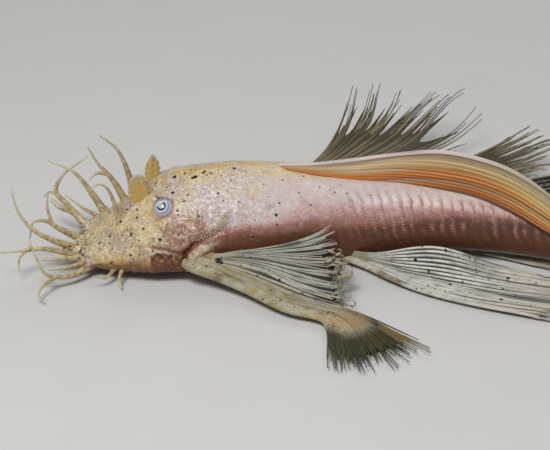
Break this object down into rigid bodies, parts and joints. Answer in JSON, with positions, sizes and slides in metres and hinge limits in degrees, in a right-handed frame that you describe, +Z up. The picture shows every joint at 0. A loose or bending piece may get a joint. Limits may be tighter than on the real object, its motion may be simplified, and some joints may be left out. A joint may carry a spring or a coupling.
{
  "type": "bristlenose pleco, albino long-finned male, life-size still model",
  "caption": "Life-size still model of an albino, long-finned male bristlenose pleco resting on its belly, with branched snout tentacles and frayed fins.",
  "frame": {"origin": "middle of the flat of the belly, at the level of the floor", "axes": "+X from the snout towards the tail, +Z up, -Y the fish's left side"},
  "size_m": [0.1738, 0.1155, 0.0313],
  "materials": {
    "skin": "satin",
    "head_skin": "satin",
    "eye": "gloss",
    "fin": "satin",
    "orange_fin": "satin"
  },
  "bodies": {
    "root": {"snout": "head_skin", "head": "head_skin", "eye_left": "eye", "eye_right": "eye", "torso": "skin", "tail": "skin", "dorsal_fin": "orange_fin", "adipose_fin": "orange_fin", "caudal_fin": "fin", "anal_fin": "fin", "pectoral_fin_left": "fin", "pectoral_fin_right": "fin", "pelvic_fin_left": "fin", "pelvic_fin_right": "fin"}
  },
  "joints": []
}
